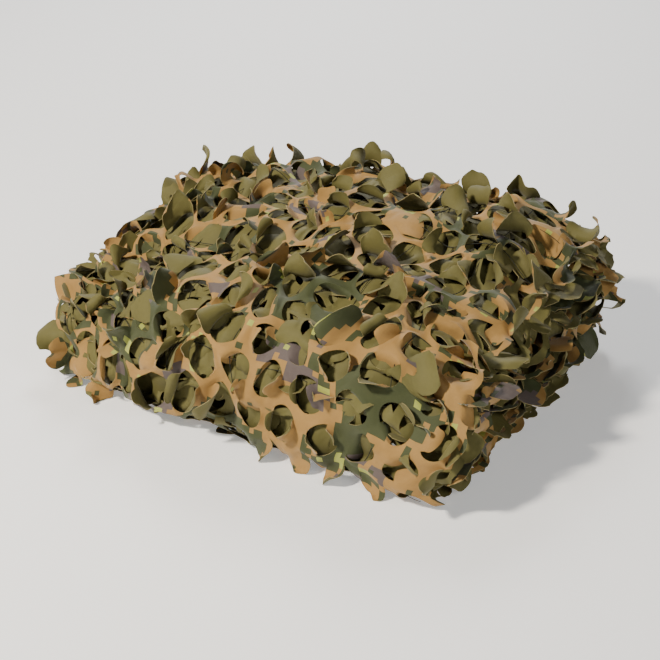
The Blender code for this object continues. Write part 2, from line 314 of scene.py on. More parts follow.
def printed_side(s, d):
    """The direction in which the printed face looks at points of the flat cloth."""
    step = 5 * MM
    across = in_pack(s + step, d) - in_pack(s - step, d)
    along = in_pack(s, d + step) - in_pack(s, d - step)
    normal = np.cross(across, along)
    return normal / np.maximum(np.linalg.norm(normal, axis=-1, keepdims=True), 1e-9)


# The cloth doesn't lie smooth. Each field below is a random unevenness with its own range of wave lengths.


def ripples(seed, shortest, longest, count=10):
    """A smooth random field on the flat cloth with waves between two lengths. Its size is about 1."""
    random = np.random.default_rng(seed)
    length = random.uniform(shortest, longest, count)
    angle = random.uniform(0, 2 * math.pi, count)
    phase = random.uniform(0, 2 * math.pi, count)

    def field(s, d):
        total = np.zeros_like(s)
        for k in range(count):
            way = s * math.cos(angle[k]) + d * math.sin(angle[k])
            total += np.sin(2 * math.pi * way / length[k] + phase[k])
        return total / math.sqrt(count / 2)
    return field


drift_s = ripples(11, 110 * MM, 260 * MM)
drift_d = ripples(12, 110 * MM, 260 * MM)
heave = ripples(13, 70 * MM, 160 * MM)
ruck = ripples(14, 45 * MM, 75 * MM)
swell = ripples(15, 80 * MM, 170 * MM)
dent = ripples(16, 80 * MM, 170 * MM)

# How large each unevenness is: everywhere, and what is added on the outer run, towards the two ends of the
# pack, towards its left end, and along the crest where the top meets the back.
DRIFT = {"all": 4 * MM, "left": 3 * MM}
DRIFT_ALONG = {"all": 4 * MM, "ends": 2 * MM, "left": 3 * MM}
HEAVE = {"all": 1.6 * MM, "outer": 0.8 * MM, "ends": 3.5 * MM, "crest": 2.0 * MM}
RUCK = {"all": 0.5 * MM, "outer": 0.1 * MM, "outer left": 2.3 * MM, "ends": 1.9 * MM, "crest": 1.2 * MM}
SWELL = 4.5 * MM
DENT = 4.0 * MM
RIGHT_SAG = 0.13
CREST_LENGTH = 100 * MM
CREST_EASE = 60 * MM
DENT_START = 20 * MM
DENT_EASE = 200 * MM

# A layer behind the outer run lies up to this much deeper again towards the right end, from this far along.
# Its creases are moved along by this many times its depth, so that they are its own.
RIGHT_DEEPER = 1.5
DEEPER_START = 160 * MM
DEEPER_EASE = 120 * MM
DEPTH_SHIFT = 9

# The cloth is drawn in unevenly. Its columns are closest near the two ends and widest right of the middle.
# Its rows are widest at the foot of the front and closest at the back of the top.
SIDE_GATHER = 0.08
SIDE_SHIFT = 0.10
TOP_GATHER = 0.12
EASE_LENGTH = 40 * MM


def outer_share(d):
    """1 on the outer run, 0 inside the pack and underneath, with a short ease between."""
    past_start = smooth((d - UNDER_LENGTH) / EASE_LENGTH)
    return past_start * smooth((UNDER_LENGTH + CUT_LENGTH - d) / EASE_LENGTH)


def gathered(s, d):
    """Where points of the cloth come to lie along the fold and across it, when it is drawn in unevenly."""
    across = s / PACK_LENGTH + 0.5
    along = np.clip((d - UNDER_LENGTH) / CUT_LENGTH, 0, 1)
    waves = np.sin(2 * math.pi * (across - SIDE_SHIFT)) + math.sin(2 * math.pi * SIDE_SHIFT)
    s2 = s - SIDE_GATHER * waves / (2 * math.pi) * PACK_LENGTH
    return s2, d + TOP_GATHER * along * (1 - along) * CUT_LENGTH


def crumpled(s, d, extra=0.0, depth=0.0):
    """Places in the pack of points of the cloth, crumpled, and lifted by extra off the printed face.

    A depth is that of a second layer behind the first, which lies deeper still towards the right end.
    """
    s, d = gathered(s, d)
    outer = outer_share(d)
    left = 1 - smooth(s / PACK_LENGTH + 0.5)
    places = {
        "all": 1.0,
        "outer": outer,
        "ends": smooth((2 * np.abs(s) / PACK_LENGTH - 0.60) / 0.40),
        "left": left,
        "outer left": outer * left,
        "crest": outer * smooth((d - UNDER_LENGTH - CUT_LENGTH + CREST_LENGTH) / CREST_EASE),
    }

    def size(amounts):
        return sum(amount * places[place] for place, amount in amounts.items())

    s2 = s + size(DRIFT) * drift_s(s, d)
    d2 = d + size(DRIFT_ALONG) * drift_d(s, d)
    lift = heave(s, d) * size(HEAVE) + ruck(s + DEPTH_SHIFT * depth, d) * size(RUCK)
    lift = lift - depth * (1 + RIGHT_DEEPER * smooth((s - DEEPER_START) / DEEPER_EASE))
    place = in_pack(s2, d2) + printed_side(s2, d2) * (lift + extra)[..., None]
    x, y, z = place[..., 0], place[..., 1], place[..., 2]
    height = np.clip(z / FULL_HEIGHT, 0, 1)
    near_front = smooth((DENT_START - y) / DENT_EASE)
    place[..., 2] = z + SWELL * swell(x, y) * height
    place[..., 1] = y + DENT * dent(x, z) * near_front * np.sqrt(height)
    place[..., 2] *= 1 - RIGHT_SAG * places["ends"] * (s > 0)
    place[..., 2] = np.maximum(place[..., 2], FLOOR_GAP)
    return place


# The die cuts the cloth in six-sided cells. The web round each hole is what is left of its cell, and it is
# joined to the webs of the cells round it. The cloth is gathered a little in the pack, so it is larger flat.
COLUMNS = 12
CELL = PACK_LENGTH / COLUMNS
ROW = CELL * math.sqrt(3) / 2
GATHER = 1.1
CORNER_REACH = CELL / math.sqrt(3)
CORNERS = np.array([
    [math.cos(math.radians(30 + 60 * k)), math.sin(math.radians(30 + 60 * k))] for k in range(6)
]) * CORNER_REACH

# How far the web's meeting points stand off the cloth, and half the least width of a web.
CORNER_JOLT = 3.0 * MM
BRIDGE = 2.2 * MM

# A hole's two half widths in millimetres, how much less open it is where the front is drawn taut, how
# three-sided it is, and how far in millimetres its lip stands off the cloth.
LONG_HALF = (23.0, 25.5)
SHORT_HALF = (21.5, 23.8)
TAUT_SHARE = 0.16
TAUT_START = -40 * MM
TAUT_EASE = 120 * MM
TAUT_HEIGHT = 150 * MM
TAUT_TOP_EASE = 60 * MM
THREE_SIDED = 0.05
LIP = (0.5, 3.0)
SIDE_BULGE = 7 * MM

# How far holes lean, how far from the middle a hinge cuts them off as a share of the short half width, and
# for one leaf as a share of the hinge's half angle, how sharply hinges and the web's bridges do so, and how
# many millimetres a one-leaf hole moves to its hinge.
LEAN_SPREAD = 0.3
TWO_LEAF_LIMIT = 0.90
NO_LIMIT = 2.0
STRAIGHT_SHARE = 0.50
LEAST_COSINE = 0.05
HINGE_POWER = 8
BRIDGE_POWER = 12
PUSH = (0.5, 2.0)

# How the cells are cut: how far hinges turn from their row's side, shares of the cells, and half the angle
# that a hinge takes up.
HINGE_SPREAD = 0.6
BACK_SPREAD = 0.5
FOOT_SPREAD = 0.35
FREE_HINGES = 0.30
BACK_HINGES = 0.45
TWO_LEAVES = 0.50
ONE_LEAF_HALF = (0.85, 1.25)
TWO_LEAF_HALF = (0.75, 0.95)

# The outer run comes to lie on top of the pack this far along it from the floor, and cells this near the
# floor are at its foot.
TOP_START = 230 * MM
FOOT_REACH = 0.9 * ROW


def cells_of(rows):
    """Centres of the cells in these rows, and for each -1 or 1 where it is cut through by a side edge."""
    found = []
    for row in rows:
        d = UNDER_LENGTH + (row + 0.5) * ROW
        if row % 2 == 0:
            found += [((k + 0.5) * CELL - PACK_LENGTH / 2, d, 0) for k in range(COLUMNS)]
        else:
            found += [
                (k * CELL - PACK_LENGTH / 2, d, -1 if k == 0 else 1 if k == COLUMNS else 0)
                for k in range(COLUMNS + 1)
            ]
    return np.array(found)


# A meeting point is found from all its cells by rounding to this, and hashed by the usual three constants.
KEY_SIZE = 4 * MM
HASH = (12.9898, 78.233, 43758.5453)


def jolt(points):
    """A random lift of each meeting point of three webs, the same from all three cells."""
    key = np.round(points / KEY_SIZE).astype(np.int64)
    hashed = np.sin(key[..., 0] * HASH[0] + key[..., 1] * HASH[1]) * HASH[2]
    return (2 * (hashed - np.floor(hashed)) - 1) * CORNER_JOLT


def choose_cuts(cells, random):
    """How each cell is cut: the hinge's direction, its half angle, and 1 for one leaf or 2 for two."""
    count = len(cells)
    row = np.round((cells[:, 1] - UNDER_LENGTH) / ROW - 0.5).astype(int)
    base = np.where(row % 2 == 0, 0.0, math.pi)
    free = random.random(count) < FREE_HINGES
    any_way = random.uniform(0, 2 * math.pi, count)
    towards = np.where(free, any_way, base + random.normal(0, HINGE_SPREAD, count))
    on_top = cells[:, 1] > UNDER_LENGTH + TOP_START
    back_hinge = on_top & (random.random(count) < BACK_HINGES)
    towards = np.where(back_hinge, math.pi / 2 + random.normal(0, BACK_SPREAD, count), towards)
    towards = np.where(cells[:, 2] != 0, np.where(cells[:, 2] < 0, 0.0, math.pi), towards)
    foot = np.abs(cells[:, 1] - UNDER_LENGTH) < FOOT_REACH
    down = math.pi / 2 + random.normal(0, FOOT_SPREAD, count)
    towards = np.where(foot & (cells[:, 2] == 0), down, towards)
    leaves = np.where((random.random(count) < TWO_LEAVES) & ~foot & (cells[:, 2] == 0), 2, 1)
    half = np.where(
        leaves == 2, random.uniform(*TWO_LEAF_HALF, count), random.uniform(*ONE_LEAF_HALF, count),
    )
    return towards, half, leaves


def make_cells(rows, per_side, rings, depth, random):
    """The webs of these rows: flat places, crumpled places, how each is cut, and what is kept.

    A web is a band of rings of points, from the rim of its hole out to the six sides of its cell.
    """
    cells = cells_of(rows)

    # The other half of the cloth is staggered, so that its webs lie behind the outer run's holes.
    if depth:
        cells[:, 1] += ROW
    cuts = choose_cuts(cells, random)
    towards, half, leaves = (value[:, None] for value in cuts)
    count = 6 * per_side
    index = np.arange(count)
    side, part = index // per_side, (index % per_side) / per_side
    edge = CORNERS[side] * (1 - part[:, None]) + CORNERS[(side + 1) % 6] * part[:, None]
    edges = np.repeat(edge[None], len(cells), axis=0)

    # The two side edges of the cloth are not straight: whole cells there bulge out a little.
    full_edge = (np.abs(np.abs(cells[:, 0]) + CELL / 2 - PACK_LENGTH / 2) < MM) & (cells[:, 2] == 0)
    outwards = np.sign(cells[:, 0])[:, None]
    bulge = np.sin(math.pi * part)[None] * (np.abs(edge[None, :, 0] - outwards * CELL / 2) < MM)
    edges[:, :, 0] += outwards * bulge * full_edge[:, None] * SIDE_BULGE

    # The rim of each hole: a leaning ellipse, a little three-sided, and straighter where a hinge is.
    angle = np.arctan2(edge[:, 1], edge[:, 0])[None]
    right_part = smooth((cells[:, 0] - TAUT_START) / TAUT_EASE)
    on_front = 1 - smooth((cells[:, 1] - UNDER_LENGTH - TAUT_HEIGHT) / TAUT_TOP_EASE)
    open_share = 1 - TAUT_SHARE * (right_part * on_front * (cells[:, 1] > UNDER_LENGTH))[:, None]
    long = random.uniform(*LONG_HALF, (len(cells), 1)) * MM * open_share
    short = random.uniform(*SHORT_HALF, (len(cells), 1)) * MM * open_share
    lean = towards + math.pi / 2 + random.normal(0, LEAN_SPREAD, (len(cells), 1))
    turn = random.uniform(0, 2 * math.pi, (len(cells), 1))
    radius = 1 / np.hypot(np.cos(angle - lean) / long, np.sin(angle - lean) / short)
    radius *= 1 + THREE_SIDED * np.cos(3 * (angle - turn))
    for straight in (towards, towards + math.pi):
        near = np.cos(angle - straight)
        one_leaf_limit = np.where(straight == towards, np.cos(half * STRAIGHT_SHARE), NO_LIMIT)
        limit = short * np.where(leaves == 2, TWO_LEAF_LIMIT, one_leaf_limit)
        cut_off = np.where(near > LEAST_COSINE, limit / np.maximum(near, LEAST_COSINE), 1.0)
        radius = (radius ** -HINGE_POWER + cut_off ** -HINGE_POWER) ** (-1 / HINGE_POWER)
    bridge = np.hypot(edge[:, 0], edge[:, 1])[None] - BRIDGE
    radius = (radius ** -BRIDGE_POWER + bridge ** -BRIDGE_POWER) ** (-1 / BRIDGE_POWER)
    rim = np.stack((radius * np.cos(angle), radius * np.sin(angle)), axis=-1)
    push = np.stack((np.cos(towards), np.sin(towards)), axis=-1) * (leaves == 1)[..., None]
    rim += push * random.uniform(*PUSH, (len(cells), 1, 1)) * MM * (cells[:, 2] == 0)[:, None, None]
    ring = np.linspace(0, 1, rings + 1)[None, :, None, None]
    flat = rim[:, None] * (1 - ring) + edges[:, None] * ring + cells[:, None, None, :2]

    # The web's meeting points and the lips of the holes stand off the cloth or sink into it.
    corner_lift = jolt(CORNERS[None] + cells[:, None, :2])
    lift = corner_lift[:, side] * (1 - part) + corner_lift[:, (side + 1) % 6] * part
    lip = np.cos(2 * (angle - random.uniform(0, 6.28, (len(cells), 1))))
    lip = random.uniform(*LIP, (len(cells), 1)) * MM * lip
    lift = lift[:, None] + lip[:, None] * (1 - ring[..., 0])
    placed = crumpled(flat[..., 0], flat[..., 1], lift, depth)

    # A cell at a side edge keeps only the half of its web that is on the cloth.
    kept = np.ones((len(cells), count), dtype=bool)
    for sign in (-1, 1):
        inner = edge[:, 0] * sign < MM
        kept[cells[:, 2] == sign] = inner & np.roll(inner, -1)
    return cells, flat, placed, kept, cuts


# The share of its outline at which a leaf's first corner lies. Where two leaves share a hole, each is a
# rounded lobe: how far it goes past the middle, how blunt its tip is, how much wider it is than its hinge.
ROUND_CORNER = 0.36
HALF_CORNER = 0.3
LOBE_PAST = 0.15
LOBE_BLUNT = 0.72
LOBE_WIDER = 0.2


def outline_of(kind, half, radius_at, centre):
    """The cut outline of a leaf as a function of a share, from one end of its hinge round to the other.

    Also gives the share at which the outline's first corner lies.
    """
    if kind == "round":
        def outline(share):
            angle = centre - half - (2 * math.pi - 2 * half) * share
            radius = radius_at(angle)
            return np.stack((radius * np.cos(angle), radius * np.sin(angle)), axis=-1)
        return outline, ROUND_CORNER

    size = radius_at(np.array([centre]))[0]
    chord = size * math.cos(half)
    width = size * math.sin(half)
    c, s = math.cos(centre), math.sin(centre)

    def outline(share):
        turn = math.pi * share
        x = chord - (chord + LOBE_PAST * size) * np.sin(turn) ** LOBE_BLUNT
        y = -width * np.cos(turn) * (1 + LOBE_WIDER * np.sin(turn))
        return np.stack((x * c - y * s, x * s + y * c), axis=-1)
    return outline, HALF_CORNER


def leaf_grid(root, outline, corner, steps):
    """Flat points of a leaf between its hinge and its outline, row by row, without the hinge itself."""
    u = np.linspace(0, 1, len(root))[None, :, None]
    v = np.linspace(0, 1, steps + 1)[1:, None, None]
    left = outline(corner * v[:, 0, 0])[:, None]
    right = outline(1 - corner * v[:, 0, 0])[:, None]
    top = outline(corner + (1 - 2 * corner) * u[0, :, 0])[None]
    corners = (
        (1 - u) * (1 - v) * root[0] + u * (1 - v) * root[-1]
        + (1 - u) * v * top[:, :1] + u * v * top[:, -1:]
    )
    return (1 - v) * root[None] + v * top + (1 - u) * left + u * right - corners


# The share of a leaf's length in which it bends at its hinge, and the share past which its cup is full.
HINGE_BEND = 0.22
CUP_START = 0.5
BEND_STEPS = 41


def make_leaf(flat_rim, placed_rim, up, cell, middle, half, kind, steps, bend):
    """One leaf on the rim: its flat and placed points, row by row, without its hinge on the rim.

    The rim's points from middle - half to middle + half are its hinge. bend is (angle at the hinge,
    further curl up to the tip, twist, cup).
    """
    count = len(flat_rim)
    hinge = (middle + np.arange(-half, half + 1)) % count
    around = flat_rim - cell
    centre_point = around.mean(axis=0)
    around = around - centre_point
    angles = np.arctan2(around[:, 1], around[:, 0])
    radii = np.hypot(around[:, 0], around[:, 1])

    def radius_at(angle):
        return np.interp(angle, angles, radii, period=2 * math.pi)

    root = around[hinge]
    centre = math.atan2(root[half, 1], root[half, 0])
    first = math.atan2(root[0, 1], root[0, 0])
    half_angle = (centre - first) % (2 * math.pi)
    outline, corner = outline_of(kind, half_angle, radius_at, centre)
    flat = leaf_grid(root, outline, corner, steps)

    inwards = -root[half] / np.linalg.norm(root[half])
    sideways = np.array([inwards[1], -inwards[0]])
    a = (flat - root[half]) @ sideways
    b = (flat - root[half]) @ inwards
    root_a = (root - root[half]) @ sideways
    root_b = (root - root[half]) @ inwards

    base = placed_rim[hinge]
    into = placed_rim.mean(axis=0) - base[half]
    normal = up - into * (up @ into) / (into @ into)
    normal /= np.linalg.norm(normal)
    into /= np.linalg.norm(into)
    along = np.cross(into, normal)

    hinge_angle, curl, twist, cup = bend
    reach = b.max()
    grid = np.linspace(min(b.min(), 0), reach, BEND_STEPS)
    step = grid[1] - grid[0]
    width = np.abs(a).max()
    rise = np.empty_like(b)
    go = np.empty_like(b)
    for column in range(b.shape[1]):
        tilt = 1 + twist * root_a[column] / width
        angle = (hinge_angle * smooth(grid / (HINGE_BEND * reach)) + curl * grid / reach) * tilt
        up_sum = np.concatenate(([0], np.cumsum(np.sin((angle[1:] + angle[:-1]) / 2) * step)))
        go_sum = np.concatenate(([0], np.cumsum(np.cos((angle[1:] + angle[:-1]) / 2) * step)))
        rise[:, column] = np.interp(b[:, column], grid, up_sum) - np.interp(root_b[column], grid, up_sum)
        go[:, column] = np.interp(b[:, column], grid, go_sum) - np.interp(root_b[column], grid, go_sum)
    rise = rise + cup * (a / width) ** 2 * smooth(b / (CUP_START * reach))
    sideways_part = (a - root_a)[..., None] * along
    placed = base[None] + sideways_part + go[..., None] * into + rise[..., None] * normal
    return flat + centre_point + cell, placed, hinge


# How leaves lie on the outer run. Each: share of the leaves, angle at the hinge, and further curl to the tip.
RAISED = (0.6, 1.2)
FOLDED_BACK = (1.4, 2.3)
OUTER_BENDS = (
    (0.18, RAISED, (-0.3, 0.9)),
    (0.24, (0.3, 0.7), (1.8, 3.2)),
    (0.22, FOLDED_BACK, (-0.8, 0.5)),
    (0.12, (-1.2, -0.6), (-1.8, -0.6)),
    (0.20, (-1.0, -0.5), (-0.6, 0.3)),
    (0.04, (0.35, 0.70), (-1.8, -0.9)),
)
FOOT_HINGE = (-0.5, 0.8)
FOOT_CURL = (0.9, 2.6)
TWIST = 0.35
FOOT_TWIST = 0.5
CUP = 2 * MM

# On top of the pack, leaves that sink lie deeper, and leaves that are folded back lie flatter. In its last
# rows they roll up instead of standing, and at the right end the raised ones sink instead.
SUNK_FURTHER = 1.6
FOLDED_FURTHER = 0.35
CREST_ROWS = 2.5
STANDING_CURL = 1.5
CREST_HINGE = 0.3
ROLL = 2.0
RIGHT_END = 0.28 * PACK_LENGTH

# How freely leaves lie inside the pack, as a share of the outer run's, and how much more at its two ends.
INNER_FREE = 0.30
END_FREE = 0.70


def choose_bend(cell, outer, random):
    """How one leaf of a cell lies: hinge angle, curl, twist and cup.

    Leaves inside the pack stay near the cloth, and those at its two ends curl freely.
    """
    if abs(cell[1] - UNDER_LENGTH) < FOOT_REACH:
        hinge_angle, curl = random.uniform(*FOOT_HINGE), random.uniform(*FOOT_CURL)
        return hinge_angle, math.copysign(curl, hinge_angle), random.uniform(-FOOT_TWIST, FOOT_TWIST), 0
    pick = random.random()
    for share, hinge_range, curl_range in OUTER_BENDS:
        pick -= share
        if pick <= 0:
            break
    hinge_angle = random.uniform(*hinge_range)
    curl = random.uniform(*curl_range)
    top = outer and cell[1] > UNDER_LENGTH + TOP_START
    if top and hinge_range[1] < 0:
        hinge_angle *= SUNK_FURTHER
    if top and hinge_range == FOLDED_BACK:
        hinge_angle += FOLDED_FURTHER
        curl = abs(curl)
    if outer and cell[0] > RIGHT_END and hinge_range == RAISED:
        hinge_angle, curl = -hinge_angle, -curl
    crest = top and cell[1] > UNDER_LENGTH + CUT_LENGTH - CREST_ROWS * ROW
    if crest and hinge_angle > 0 and curl < STANDING_CURL:
        hinge_angle, curl = CREST_HINGE * hinge_angle, ROLL + 0.5 * hinge_angle
    twist = random.uniform(-TWIST, TWIST)
    cup = random.uniform(-CUP, CUP)
    end = float(smooth((2 * abs(cell[0]) / PACK_LENGTH - 0.7) / 0.3))
    free = max(outer, INNER_FREE + END_FREE * end)
    sign = 1 if outer > 0.5 or random.random() < 0.5 else -1
    return sign * hinge_angle * free, sign * curl * free, twist, cup * free


# The other half of the cloth, behind the outer run, lies nearly flat. Its shares of each bend: hinge, curl,
# twist and cup.
BEHIND = (-0.22, -0.15, 0.5, 0.5)


def cell_leaves(cuts, number, count):
    """The leaves of a cell. Each: the rim's point at its hinge's middle, half the hinge's points, kind."""
    towards, half_angle, leaves = (value[number] for value in cuts)
    middle = round((towards - math.pi / 6) / (2 * math.pi) * count)
    half = max(2, round(half_angle / (2 * math.pi) * count))
    if leaves == 2:
        return [(int(middle) % count, half, "half"), (int(middle + count // 2) % count, half, "half")]
    return [(int(middle) % count, half, "round")]


def net_piece(name, rows, per_side, rings, steps, seed, depth=0.0):
    """A stretch of the net over these rows of cells, as a thin printed sheet.

    per_side is the points along each side of a cell, rings the bands of faces in a web, and steps the rows of
    faces along a leaf. With a depth it is the cloth's other half: that far under the outer run, with its back
    outwards.
    """
    random = np.random.default_rng(seed)
    cells, flat, placed, kept, cuts = make_cells(rows, per_side, rings, depth, random)
    count = 6 * per_side
    points = [placed.reshape(-1, 3)]
    layout = [flat.reshape(-1, 2)]
    faces = []
    size = (rings + 1) * count
    total = len(cells) * size
    for number in range(len(cells)):
        base = number * size
        m = np.arange(count)[kept[number]]
        n = (m + 1) % count
        for ring in range(rings):
            low, high = base + ring * count, base + (ring + 1) * count
            faces += np.stack((low + m, high + m, high + n, low + n), axis=-1).tolist()
        cell = cells[number, :2]
        outer = float(outer_share(np.array([cell[1]]))[0])
        up = printed_side(*gathered(np.array([cell[0]]), np.array([cell[1]])))[0]
        for middle, half, kind in cell_leaves(cuts, number, count):
            hinge_angle, curl, twist, cup = choose_bend(cell, outer, random)
            if depth:
                hinge_angle, curl = BEHIND[0] * abs(hinge_angle), BEHIND[1] * abs(curl)
                twist, cup = BEHIND[2] * twist, BEHIND[3] * cup
            bend = hinge_angle, curl, twist, cup
            flat_leaf, placed_leaf, hinge = make_leaf(
                flat[number, 0], placed[number, 0], up, cell, middle, half, kind, steps, bend,
            )
            grid = total + np.arange(steps * len(hinge)).reshape(steps, len(hinge))
            grid = np.concatenate((base + hinge[None], grid))
            for now, then in zip(grid[:-1], grid[1:]):
                faces += np.stack((now[:-1], now[1:], then[1:], then[:-1]), axis=-1).tolist()
            total += steps * len(hinge)
            points.append(placed_leaf.reshape(-1, 3))
            layout.append(flat_leaf.reshape(-1, 2))
    if depth:
        faces = [face[::-1] for face in faces]
    points = np.concatenate(points)
    layout = np.concatenate(layout)
    points[:, 2] = np.maximum(points[:, 2], FLOOR_GAP)
    mesh = bpy.data.meshes.new(name)
    mesh.from_pydata(points.tolist(), [], faces)
    spots = np.empty(len(mesh.loops), dtype=np.int64)
    mesh.loops.foreach_get("vertex_index", spots)
    uv_map = mesh.uv_layers.new(name="cloth")
    uv_map.data.foreach_set("uv", (layout[spots] * GATHER).ravel())
    for finish in (print_material, back_material, painted_highlight_edge_material):
        mesh.materials.append(finish)
    net = bpy.data.objects.new(name, mesh)
    bpy.context.scene.collection.objects.link(net)
    return finish_cloth(net)


CLOTH_THICKNESS = 0.7 * MM
WELD = 0.03 * MM
SHARP = math.radians(55)


def select_only(thing):
    """Makes one object the only selected one and the active one."""
    bpy.ops.object.select_all(action="DESELECT")
    bpy.context.view_layer.objects.active = thing
    thing.select_set(True)


def finish_cloth(net):
    """Welds the cells together and gives the cloth its thickness."""
    work = bmesh.new()
    work.from_mesh(net.data)
    bmesh.ops.remove_doubles(work, verts=work.verts, dist=WELD)
    loose = [vert for vert in work.verts if not vert.link_faces]
    bmesh.ops.delete(work, geom=loose, context="VERTS")
    work.to_mesh(net.data)
    work.free()
    select_only(net)
    thick = net.modifiers.new("thickness", "SOLIDIFY")
    thick.thickness = CLOTH_THICKNESS
    thick.offset = -1
    thick.use_even_offset = False
    thick.material_offset = 1
    # The rims take the third material, the cut edges coloured paler as a painted highlight.
    thick.material_offset_rim = 2
    bpy.ops.object.modifier_apply(modifier=thick.name)
    net.data.shade_smooth()
    net.data.set_sharp_from_angle(angle=SHARP)
    return net


def linear(code):
    """A hex colour as linear RGBA."""
    parts = [int(code[i:i + 2], 16) / 255 for i in (1, 3, 5)]
    return [p / 12.92 if p <= 0.04045 else ((p + 0.055) / 1.055) ** 2.4 for p in parts] + [1.0]


def add_node(tree, kind, settings=None, values=None, links=None):
    """A new node with its settings, its input values and its input links."""
    node = tree.nodes.new(kind)
    for name, value in (settings or {}).items():
        setattr(node, name, value)
    for name, value in (values or {}).items():
        node.inputs[name].default_value = value
    for name, source in (links or {}).items():
        tree.links.new(source, node.inputs[name])
    return node


def new_material(name, values):
    """A new material with a Principled shader, which has these input values, on its output."""
    material = bpy.data.materials.new(name)
    material.use_nodes = True
    tree = material.node_tree
    tree.nodes.clear()
    shader = add_node(tree, "ShaderNodeBsdfPrincipled", None, values)
    add_node(tree, "ShaderNodeOutputMaterial", links={"Surface": shader.outputs["BSDF"]})
    return material, tree, shader


# Sizes on the cloth: the print's square blocks, the spacing of the threads and the size of its small creases.
# Real threads lie closer, well under a millimetre apart, and are drawn coarser so that they show.
BLOCK = 8 * MM
WEAVE = 1.2 * MM
WEAVE_HEIGHT = 0.2 * MM
CREASE = 24 * MM
CREASE_HEIGHT = 4 * MM


def cloth_bump(tree, uv, strength):
    """The fine weave and the soft creases of the cloth. A wave texture has 20 radians of wave to its unit."""
    bands = 2 * math.pi / (20 * WEAVE)
    threads = [
        add_node(
            tree, "ShaderNodeTexWave", {"wave_type": "BANDS", "bands_direction": way}, {"Scale": bands},
            {"Vector": uv},
        ).outputs["Fac"]
        for way in "XY"
    ]
    weave = add_node(
        tree, "ShaderNodeMath", {"operation": "MULTIPLY"}, None, {0: threads[0], 1: threads[1]},
    )
    creases = add_node(
        tree, "ShaderNodeTexNoise", None,
        {"Scale": 1 / CREASE, "Detail": 3.0, "Roughness": 0.55, "Distortion": 0.6}, {"Vector": uv},
    )
    soft = add_node(
        tree, "ShaderNodeBump", None, {"Strength": strength, "Distance": CREASE_HEIGHT},
        {"Height": creases.outputs["Fac"]},
    )
    fine = add_node(
        tree, "ShaderNodeBump", None, {"Strength": 0.25, "Distance": WEAVE_HEIGHT},
        {"Height": weave.outputs[0], "Normal": soft.outputs["Normal"]},
    )
    return fine.outputs["Normal"]


def patch_mask(tree, blocks, offset, size, limit, detail):
    """1 inside patches of whole printed blocks, which lie where a noise of this size is over a limit."""
    moved = add_node(
        tree, "ShaderNodeVectorMath", {"operation": "ADD"}, {1: (offset, offset * 0.37, 0)}, {0: blocks},
    )
    noise = add_node(
        tree, "ShaderNodeTexNoise", None, {"Scale": 1 / size, "Detail": detail, "Roughness": 0.65},
        {"Vector": moved.outputs[0]},
    )
    over_limit = add_node(
        tree, "ShaderNodeMath", {"operation": "GREATER_THAN"}, {1: limit}, {0: noise.outputs["Fac"]},
    )
    return over_limit.outputs[0]


def mixed(tree, mask, first, second):
    """first where the mask is 0 and second where it is 1. Both are colour sockets."""
    node = add_node(tree, "ShaderNodeMix", {"data_type": "RGBA"})
    tree.links.new(mask, node.inputs["Factor"])
    for socket, value in ((node.inputs[6], first), (node.inputs[7], second)):
        if isinstance(value, list):
            socket.default_value = value
        else:
            tree.links.new(value, socket)
    return node.outputs[2]


def uneven(tree, uv, colour, amount, size):
    """The colour a little lighter and darker from place to place, as handled cloth is."""
    noise = add_node(
        tree, "ShaderNodeTexNoise", None, {"Scale": 1 / size, "Detail": 4.0, "Roughness": 0.6},
        {"Vector": uv},
    )
    value = add_node(
        tree, "ShaderNodeMapRange", None, {"To Min": 1 - amount, "To Max": 1 + amount},
        {"Value": noise.outputs["Fac"]},
    )
    tint = add_node(tree, "ShaderNodeHueSaturation", None, None, {"Value": value.outputs[0], "Color": colour})
    return tint.outputs[0]


TAN = "#9A773E"
GREEN = "#3D4322"
GREY = "#5A4F4B"
LIME = "#9CA24A"
OLIVE = "#605B2D"
# The next colour is a painted highlight: the cut edges are coloured paler to stand in for light caught on
# them.
PAINTED_EDGE_HIGHLIGHT = "#94875A"

# The patches of colour printed over the tan, from first to last. Each: its colour, where in the noise it is
# taken from, the noise's size, the limit over which it is printed, and the noise's detail.
PATCHES = (
    (GREEN, 11.6, 125 * MM, 0.545, 2.5),
    (GREY, 9.7, 105 * MM, 0.595, 2.5),
    (GREEN, 17.3, 29.4 * MM, 0.63, 1.5),
    (LIME, 25.9, 33.3 * MM, 0.665, 1.5),
)

# Woven polyester, printed on this face. The print gives hard-edged square blocks, and the weave a dull face
# with a faint pale glow where it is seen at a slant.
print_material, tree, shader = new_material("printed_woven_polyester", {
    "Roughness": 0.72,
    "Specular IOR Level": 0.35,
    "Sheen Weight": 0.18,
    "Sheen Roughness": 0.5,
})
uv = add_node(tree, "ShaderNodeUVMap", {"uv_map": "cloth"}).outputs[0]
blocks = add_node(
    tree, "ShaderNodeVectorMath", {"operation": "SNAP"}, {1: (BLOCK, BLOCK, 1)}, {0: uv},
).outputs[0]
colour = linear(TAN)
for ink, offset, size, limit, detail in PATCHES:
    colour = mixed(tree, patch_mask(tree, blocks, offset, size, limit, detail), colour, linear(ink))
colour = uneven(tree, uv, colour, 0.12, 70 * MM)
colour = uneven(tree, uv, colour, 0.10, 6 * MM)
tree.links.new(colour, shader.inputs["Base Color"])
tree.links.new(cloth_bump(tree, uv, 0.30), shader.inputs["Normal"])

